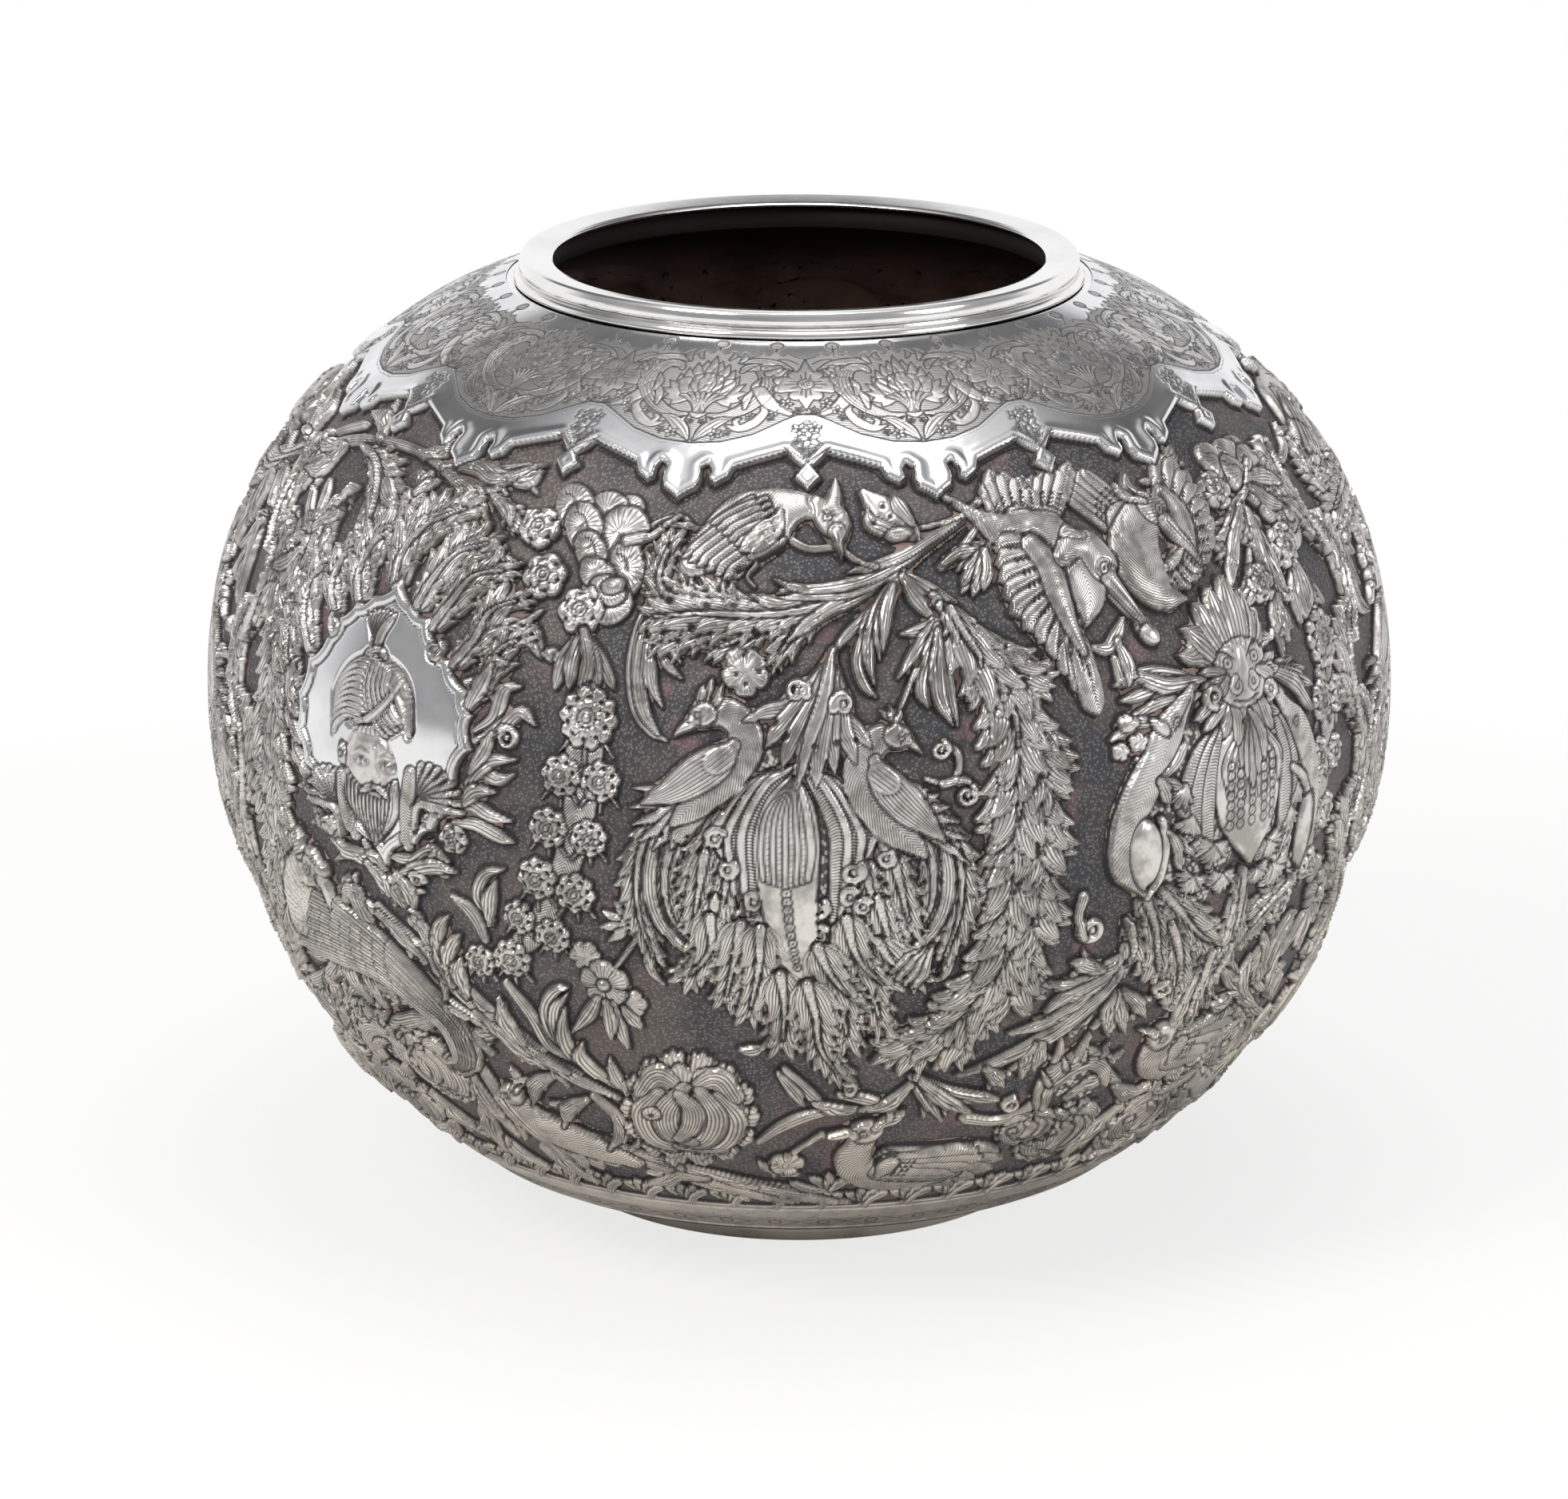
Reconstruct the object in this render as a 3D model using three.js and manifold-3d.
// A round silver vase, raised from sheet and embossed from the inside.
// Millimetres, +Z up, the front faces -Y, and the foot stands on z = 0.
import * as THREE from 'three';
import { mergeVertices } from 'three/addons/utils/BufferGeometryUtils.js';
import Module from 'manifold-3d';

const wasm = await Module();
wasm.setup();

// Seats that the rings share with the body
const SEAT_GAP = 0.3; // solder line between two pieces
const SHEET = 1; // thickness of the silver sheet
const REVERSE_SHARE = 0.6; // the inside shows the forms in reverse, softer than the outside

// The foot ring
const FOOT_RADIUS = 51.5; // at the table
const FOOT_HEIGHT = 3.2;
const FOOT_FLARE = 1.5; // its top is this much wider
const FOOT_WALL = 2.2;

// The underside, from the foot out to the curve of the body
const KEEL_RUN = 17.88; // from the foot's top out to where the curve starts
const KEEL_LIFT = 6.5; // the curve starts this far above the seat on the foot
const KEEL_LEDGE = 0.5; // the straight part ends this far outside the foot
const SEAT_LEDGE = 1; // the flat seat reaches this far inside the foot
const BOTTOM_RISE = 2.5; // the middle of the bottom is pushed up

// The body's curve: the matted ground of the sheet, as two quarter superellipses
const BELLY_RADIUS = 122; // at the widest place
const CROWN_RISE = 98.6; // from there up to where the upper curve would close
const CROWN_POWER = 2.2; // fullness of the upper curve
const KEEL_DROP = 121; // from there down to where the lower curve would close
const KEEL_POWER = 1.98; // fullness of the lower curve

// The rim moulding, which caps the short upright neck
const MOUTH_RADIUS = 51.5; // clear opening
const NECK_STEP = 2.5; // the neck's outside stands this far outside the opening
const NECK_LENGTH = 3.5; // the neck stands this far above the shoulder
const RIM_LIP = 0.6; // thickness of the moulding over the neck's end
const MOUTH_DIP = 1; // the top face falls this far to the mouth
const RIM_EDGE = 6.5; // width of the top face
const RIM_SWELL = 0.7; // the band below bulges this far past the top face
const RIM_UNDERCUT = 0.5; // and ends this far inside it
const RIM_SKIRT = 0.8; // straight part below the band

// The bead of wire under the moulding
const WIRE_WIDTH = 2;
const WIRE_HEIGHT = 1.4;
const SHOULDER_MARGIN = 1.4; // flat of the shoulder outside the wire

// The polished collar with its scalloped edge: drops below the shoulder
const COLLAR_LOBES = 12;
const COLLAR_TURN = 1; // degrees that the first tab stands to the right of the front
const COLLAR_RISE = 1.5; // height of the collar over the ground
const COLLAR_BRINK = 0.7; // height run of its rounded edge
const COLLAR_SETTLE = 20; // the rise fades out over this much radius beside the shoulder's seat
const PINCH_DROP = 16.5; // the edge beside a tab
const OGEE_DROP = 19.1; // where the long ogee meets a side leaf
const OGEE_CROWN = 0.4; // how far the ogee bows up over its straight line
const SIDE_LEAF_DROP = 21.5; // the two side leaves of a lobe
const NOTCH_DROP = 18.7; // the notches between the leaves
const TIP_DROP = 24.1; // the middle point of a lobe
const TAB_SIDE_DROP = 20.6; // side corners of the square end of a tab
const TAB_TIP_DROP = 22.2; // lowest corner of a tab

// The plain and engraved bands below the relief
const BAND_GAP = 2; // from the keel up to the bands
const BAND_WIDTH = 7.7;
const BAND_RISE = 0.9;
const BAND_BRINK = 0.7;

// The embossed wall: eight low domes, and the main forms that stand on them and between them.
// A form repeats round the body and is placed by its height over the widest place.
const PANELS = 8;
const PANEL_RISE = 2.4;
const PANEL_MIDDLE = 2;
const PANEL_HALF_HEIGHT = 42;
const PANEL_HALF_WIDTH = 31;
const DROP = { repeats: 4, turn: 0, beside: 0, lift: 0, halfWidth: 10, halfHeight: 28, rise: 1.7 };
const CRESTED_BIRDS = { repeats: 4, turn: 0, beside: 19, lift: 14, halfWidth: 8, halfHeight: 15, rise: 1.5 };
const PLUMES = { repeats: 4, turn: 0, beside: 0, lift: -32, halfWidth: 15, halfHeight: 13, rise: 1.5 };
const MASK_DROP = { repeats: 2, turn: 45, beside: 0, lift: -1, halfWidth: 11, halfHeight: 24, rise: 1.4 };
const MASK_HEAD = { repeats: 2, turn: 45, beside: 0, lift: 28, halfWidth: 10, halfHeight: 11, rise: 1.6 };
const HOUNDS = { repeats: 2, turn: 45, beside: 23, lift: 1, halfWidth: 7, halfHeight: 22, rise: 1.5 };
const MEDALLION = { repeats: 2, turn: -43, beside: 0, lift: 16, halfWidth: 26, halfHeight: 29, rise: 1.4 };
const GARLANDS = { repeats: 8, turn: 22.5, beside: 0, lift: 4, halfWidth: 8.5, halfHeight: 52, rise: 1.8 };
const UPPER_ROSES = { repeats: 4, turn: -22.5, beside: 0, lift: 52, halfWidth: 13, halfHeight: 12, rise: 2 };
const PERCHED_BIRDS = { repeats: 4, turn: -4, beside: 0, lift: 54, halfWidth: 15, halfHeight: 9, rise: 2.2 };
const BRANCHES = { repeats: 4, turn: 3, beside: 17, lift: 42, halfWidth: 10, halfHeight: 9, rise: 1.6 };
const FLYING_BIRDS = { repeats: 2, turn: 32, beside: 11, lift: 50, halfWidth: 10, halfHeight: 13, rise: 2.2 };
const LOWER_ROSES = { repeats: 8, turn: -11, beside: 0, lift: -57, halfWidth: 13, halfHeight: 15, rise: 2 };
const DUCKS = { repeats: 8, turn: 12, beside: 0, lift: -66, halfWidth: 14, halfHeight: 9, rise: 2 };
const FORMS = [DROP, CRESTED_BIRDS, PLUMES, MASK_DROP, MASK_HEAD, HOUNDS, MEDALLION];
FORMS.push(GARLANDS, UPPER_ROSES, PERCHED_BIRDS, BRANCHES, FLYING_BIRDS, LOWER_ROSES, DUCKS);

// Faceting
const RING_STEPS = 60;
const RELIEF_STEPS = 120;
const RELIEF_ROWS = 21;

const SECTOR = 360 / COLLAR_LOBES;

// Share of a quarter superellipse's height at which it has narrowed to a share of its radius
const narrowed = (share, power) => (1 - share ** power) ** (1 / power);

// Heights and radii that follow from the sizes above, from the table up
const bottomSeat = FOOT_HEIGHT + SEAT_GAP;
const seatInside = FOOT_RADIUS - FOOT_WALL - SEAT_LEDGE;
const keelRadius = FOOT_RADIUS + FOOT_FLARE + KEEL_RUN;
const keelHeight = bottomSeat + KEEL_LIFT;
const bellyHeight = keelHeight + KEEL_DROP * narrowed(keelRadius / BELLY_RADIUS, KEEL_POWER);
const neckRadius = MOUTH_RADIUS + NECK_STEP;
const wireRadius = MOUTH_RADIUS + RIM_EDGE - RIM_UNDERCUT + SEAT_GAP + WIRE_WIDTH / 2;
const shoulderRadius = wireRadius + WIRE_WIDTH / 2 + SHOULDER_MARGIN;
const shoulderHeight = bellyHeight + CROWN_RISE * narrowed(shoulderRadius / BELLY_RADIUS, CROWN_POWER);
const ringSeat = shoulderHeight + SEAT_GAP;
const neckTop = shoulderHeight + NECK_LENGTH;
const rimTop = neckTop + SEAT_GAP + RIM_LIP + MOUTH_DIP;
const bandBottom = keelHeight + BAND_GAP;
const bandTop = bandBottom + BAND_WIDTH;
const collarPinch = shoulderHeight - PINCH_DROP;
const collarTip = shoulderHeight - TIP_DROP;

const silver = (name, roughness, color = 0xb9b6b0) => {
  const material = new THREE.MeshStandardMaterial({ color, metalness: 1, roughness });
  material.name = name;
  return material;
};
const embossedSilver = silver('embossed_silver', 0.42, 0x8f8a84);
const polishedSilver = silver('polished_silver', 0.16);
const footSilver = silver('foot_silver', 0.32, 0xa39e96);

// Radius of the matted ground at a height
function groundRadius(z) {
  const above = z > bellyHeight;
  const share = Math.abs(z - bellyHeight) / (above ? CROWN_RISE : KEEL_DROP);
  const power = above ? CROWN_POWER : KEEL_POWER;
  return BELLY_RADIUS * (1 - Math.min(share, 1) ** power) ** (1 / power);
}

// A point of the wall: the ground at a height, moved outward square to the sheet
function wallPoint(z, offset) {
  const step = 0.01;
  const slope = (groundRadius(z + step) - groundRadius(z - step)) / (2 * step);
  const length = Math.hypot(1, slope);
  return { r: groundRadius(z) + offset / length, z: z - (offset * slope) / length };
}

// Angle in degrees from the nearest middle of a pattern that repeats round the body
function fold(degrees, count, turn = 0) {
  const pitch = 360 / count;
  const within = (((degrees - turn) % pitch) + pitch) % pitch;
  return Math.min(within, pitch - within);
}

// One half of a collar scallop as angle and height: tab, long ogee, side leaf, middle point
const SCALLOP = [
  [0, shoulderHeight - TAB_TIP_DROP],
  [0.044 * SECTOR, shoulderHeight - TAB_SIDE_DROP],
  [0.08 * SECTOR, collarPinch],
  [0.19 * SECTOR, shoulderHeight - (PINCH_DROP + OGEE_DROP) / 2 + OGEE_CROWN],
  [0.31 * SECTOR, shoulderHeight - OGEE_DROP],
  [0.365 * SECTOR, shoulderHeight - SIDE_LEAF_DROP],
  [0.41 * SECTOR, shoulderHeight - NOTCH_DROP],
  [0.5 * SECTOR, collarTip],
];

// Column angles in degrees: every corner of every scallop
function scallopColumns() {
  const columns = [];
  for (let lobe = 0; lobe < COLLAR_LOBES; lobe += 1) {
    const start = COLLAR_TURN + lobe * SECTOR;
    for (const [angle] of SCALLOP) {
      columns.push(start + angle);
    }
    for (const [angle] of SCALLOP.slice(1, -1).reverse()) {
      columns.push(start + SECTOR - angle);
    }
  }
  return columns;
}

// Column angles at equal steps, from the same first angle
function evenColumns(steps) {
  return Array.from({ length: steps }, (_, i) => COLLAR_TURN + (i * 360) / steps);
}

// Height of the collar's edge at an angle
function collarEdge(degrees) {
  const angle = fold(degrees, COLLAR_LOBES, COLLAR_TURN);
  for (let i = 1; i < SCALLOP.length; i += 1) {
    const [a0, z0] = SCALLOP[i - 1];
    const [a1, z1] = SCALLOP[i];
    if (angle <= a1 + 1e-9) {
      return z0 + ((z1 - z0) * (angle - a0)) / (a1 - a0);
    }
  }
  return collarTip;
}

// The collar's rise over the ground, fading towards the neck
function collarOffset(z) {
  const reach = groundRadius(z) - shoulderRadius;
  return COLLAR_RISE * Math.sin((Math.PI / 2) * Math.min(1, reach / COLLAR_SETTLE));
}

// Height of an embossed panel over the ground: an oval dome
function panelOffset(degrees, z) {
  const across = (fold(degrees, PANELS) * Math.PI * groundRadius(z)) / 180 / PANEL_HALF_WIDTH;
  const along = (z - bellyHeight - PANEL_MIDDLE) / PANEL_HALF_HEIGHT;
  return PANEL_RISE * Math.max(0, 1 - across * across - along * along);
}

// Height of one form: flat on top, with sides that fall steeply to its oval edge
function formOffset(degrees, z, form) {
  const arc = (fold(degrees, form.repeats, form.turn) * Math.PI * groundRadius(z)) / 180;
  const across = (arc - form.beside) / form.halfWidth;
  const along = (z - bellyHeight - form.lift) / form.halfHeight;
  const reach = across * across + along * along;
  return form.rise * Math.max(0, 1 - reach * reach);
}

// Height of the embossed wall: a panel's dome with the highest form over it
function wallOffset(degrees, z, share = 1) {
  const forms = FORMS.map((form) => formOffset(degrees, z, form));
  return panelOffset(degrees, z) + share * Math.max(...forms);
}

// Height of one row of the embossed wall, counted from the collar down
function rowHeight(row) {
  const top = collarTip - 2 * COLLAR_BRINK;
  const bottom = bandTop + BAND_BRINK;
  return top + ((bottom - top) * (row + 0.35)) / (RELIEF_ROWS - 0.65);
}

// Rows of the outside, from the neck's top to the middle of the bottom
function outerRows() {
  const plain = evenColumns(RING_STEPS);
  const scalloped = scallopColumns();
  const embossed = evenColumns(RELIEF_STEPS);
  const rows = [];
  const turned = (columns, r, z) => rows.push({ columns, at: () => ({ r, z }) });
  const raised = (columns, at) => rows.push({ columns, at });
  turned(plain, neckRadius, neckTop);
  turned(plain, neckRadius, shoulderHeight);
  turned(plain, shoulderRadius, shoulderHeight);
  for (const share of [0.22, 0.48, 0.75]) {
    const z = shoulderHeight - share * PINCH_DROP;
    raised(share > 0.5 ? scalloped : plain, () => wallPoint(z, collarOffset(z)));
  }
  raised(scalloped, (angle) => wallPoint(collarEdge(angle) + COLLAR_BRINK, COLLAR_RISE));
  raised(scalloped, (angle) => wallPoint(collarEdge(angle), COLLAR_RISE * 0.7));
  raised(scalloped, (angle) => wallPoint(collarEdge(angle) - COLLAR_BRINK, 0));
  for (let row = 0; row < RELIEF_ROWS; row += 1) {
    const z = rowHeight(row);
    raised(embossed, (angle) => wallPoint(z, wallOffset(angle, z)));
  }
  raised(embossed, () => wallPoint(bandTop, BAND_RISE));
  raised(plain, () => wallPoint(bandBottom, BAND_RISE));
  turned(plain, keelRadius, keelHeight);
  turned(plain, FOOT_RADIUS + FOOT_FLARE + KEEL_LEDGE, bottomSeat);
  turned(plain, seatInside, bottomSeat);
  turned(plain, seatInside / 2, bottomSeat + 0.75 * BOTTOM_RISE);
  return rows;
}

// Rows of the inside, which shows the embossing in reverse one sheet thickness in
function innerRows() {
  const plain = evenColumns(RING_STEPS);
  const embossed = evenColumns(RELIEF_STEPS);
  const rows = [];
  const turned = (r, z) => rows.push({ columns: plain, at: () => ({ r, z }) });
  turned(neckRadius - SHEET, neckTop + SHEET);
  turned(neckRadius - SHEET, shoulderHeight - SHEET);
  turned(shoulderRadius - SHEET / 2, shoulderHeight - SHEET);
  for (const z of [shoulderHeight - PINCH_DROP / 2, collarPinch]) {
    rows.push({ columns: plain, at: () => wallPoint(z, collarOffset(z) - SHEET) });
  }
  for (let row = 0; row < RELIEF_ROWS; row += 2) {
    const z = rowHeight(row);
    const at = (angle) => wallPoint(z, wallOffset(angle, z, REVERSE_SHARE) - SHEET);
    rows.push({ columns: embossed, at });
  }
  const floor = bottomSeat + SHEET;
  rows.push({ columns: plain, at: () => wallPoint(bandTop, -SHEET) });
  turned(keelRadius - SHEET, keelHeight + SHEET);
  turned(FOOT_RADIUS + FOOT_FLARE, floor);
  turned(seatInside, floor);
  turned(seatInside / 2, floor + 0.75 * BOTTOM_RISE);
  return rows;
}

// Triangles between two rings, which may have different numbers of points
function joinRings(upper, lower, indices) {
  const angle = (ring, i) => (i < ring.columns.length ? ring.columns[i] : ring.columns[0] + 360);
  const point = (ring, i) => ring.first + (i % ring.columns.length);
  let i = 0;
  let j = 0;
  while (i < upper.columns.length || j < lower.columns.length) {
    const lowerDone = j >= lower.columns.length;
    const upperFirst = angle(upper, i + 1) <= angle(lower, j + 1) + 1e-9;
    if (i < upper.columns.length && (lowerDone || upperFirst)) {
      indices.push(point(upper, i), point(lower, j), point(upper, i + 1));
      i += 1;
    } else {
      indices.push(point(upper, i), point(lower, j), point(lower, j + 1));
      j += 1;
    }
  }
}

// A closed body from rings of points: a flat cap on the first row, a point under the last
function ringSolid(rows, lastHeight) {
  const positions = [];
  const indices = [];
  const rings = rows.map(({ columns, at }) => {
    const first = positions.length / 3;
    for (const degrees of columns) {
      const { r, z } = at(degrees);
      const turn = THREE.MathUtils.degToRad(degrees);
      positions.push(r * Math.sin(turn), -r * Math.cos(turn), z);
    }
    return { columns, first };
  });
  for (let i = 0; i + 1 < rings.length; i += 1) {
    joinRings(rings[i], rings[i + 1], indices);
  }
  const top = positions.length / 3;
  positions.push(0, 0, rows[0].at(0).z);
  positions.push(0, 0, lastHeight);
  const opening = rings[0];
  const closing = rings[rings.length - 1];
  for (let i = 0; i < opening.columns.length; i += 1) {
    indices.push(top, opening.first + i, opening.first + ((i + 1) % opening.columns.length));
  }
  for (let i = 0; i < closing.columns.length; i += 1) {
    indices.push(top + 1, closing.first + ((i + 1) % closing.columns.length), closing.first + i);
  }
  return toSolid(positions, indices);
}

function toSolid(positions, indices) {
  const mesh = new wasm.Mesh({
    numProp: 3,
    vertProperties: Float32Array.from(positions),
    triVerts: Uint32Array.from(indices),
  });
  return new wasm.Manifold(mesh);
}

function toGeometry(solid) {
  const mesh = solid.getMesh();
  const geometry = new THREE.BufferGeometry();
  geometry.setAttribute('position', new THREE.BufferAttribute(Float32Array.from(mesh.vertProperties), 3));
  geometry.setIndex(new THREE.BufferAttribute(Uint32Array.from(mesh.triVerts), 1));
  return geometry;
}

// A turned ring from a closed section of radius and height pairs
function turnedRing(section) {
  const outline = [...section, section[0]].map(([r, z]) => new THREE.Vector2(r, z));
  const ring = new THREE.LatheGeometry(outline, RING_STEPS);
  ring.rotateX(Math.PI / 2);
  ring.deleteAttribute('normal');
  ring.deleteAttribute('uv');
  return mergeVertices(ring);
}

function addNode(group, name, geometry, material) {
  const smooth = geometry.clone();
  smooth.computeVertexNormals();
  const mesh = new THREE.Mesh(smooth, material);
  mesh.name = name;
  group.add(mesh);
}

// The body: one raised and embossed sheet from the neck to the pushed-up bottom
function bodyShell() {
  const middle = bottomSeat + BOTTOM_RISE;
  const outside = ringSolid(outerRows(), middle);
  const inside = ringSolid(innerRows(), middle + SHEET);
  return toGeometry(outside.subtract(inside));
}

// The moulding that caps the neck: sloping top, convex band, short skirt on the shoulder
function rimMoulding() {
  const edge = MOUTH_RADIUS + RIM_EDGE;
  const bandLow = ringSeat + RIM_SKIRT;
  const bandMiddle = (rimTop + bandLow) / 2;
  const section = [
    [edge - RIM_UNDERCUT, ringSeat],
    [edge - RIM_UNDERCUT, bandLow],
    [edge + RIM_SWELL * 0.6, (bandLow + bandMiddle) / 2],
    [edge + RIM_SWELL, bandMiddle],
    [edge + RIM_SWELL * 0.75, (bandMiddle + rimTop) / 2],
    [edge, rimTop],
    [MOUTH_RADIUS, rimTop - MOUTH_DIP],
    [MOUTH_RADIUS, neckTop + SEAT_GAP],
    [neckRadius + SEAT_GAP, neckTop + SEAT_GAP],
    [neckRadius + SEAT_GAP, ringSeat],
  ];
  return turnedRing(section);
}

// The half-round wire in the corner between the moulding's skirt and the shoulder
function neckWire() {
  const section = [];
  const corners = 4;
  for (let i = 0; i <= corners; i += 1) {
    const angle = (Math.PI * i) / corners;
    const r = wireRadius + (WIRE_WIDTH / 2) * Math.cos(angle);
    section.push([r, ringSeat + WIRE_HEIGHT * Math.sin(angle)]);
  }
  return turnedRing(section);
}

// The foot: a strip bent into a ring, wider at its top, which carries the body's flat seat
function footRing() {
  const section = [
    [FOOT_RADIUS - FOOT_WALL, 0],
    [FOOT_RADIUS, 0],
    [FOOT_RADIUS + 0.8 * FOOT_FLARE, FOOT_HEIGHT / 2],
    [FOOT_RADIUS + FOOT_FLARE, FOOT_HEIGHT],
    [FOOT_RADIUS - FOOT_WALL, FOOT_HEIGHT],
  ];
  return turnedRing(section);
}

const vase = new THREE.Group();
addNode(vase, 'body_shell', bodyShell(), embossedSilver);
addNode(vase, 'rim_moulding', rimMoulding(), polishedSilver);
addNode(vase, 'neck_wire', neckWire(), polishedSilver);
addNode(vase, 'foot_ring', footRing(), footSilver);

export default vase;
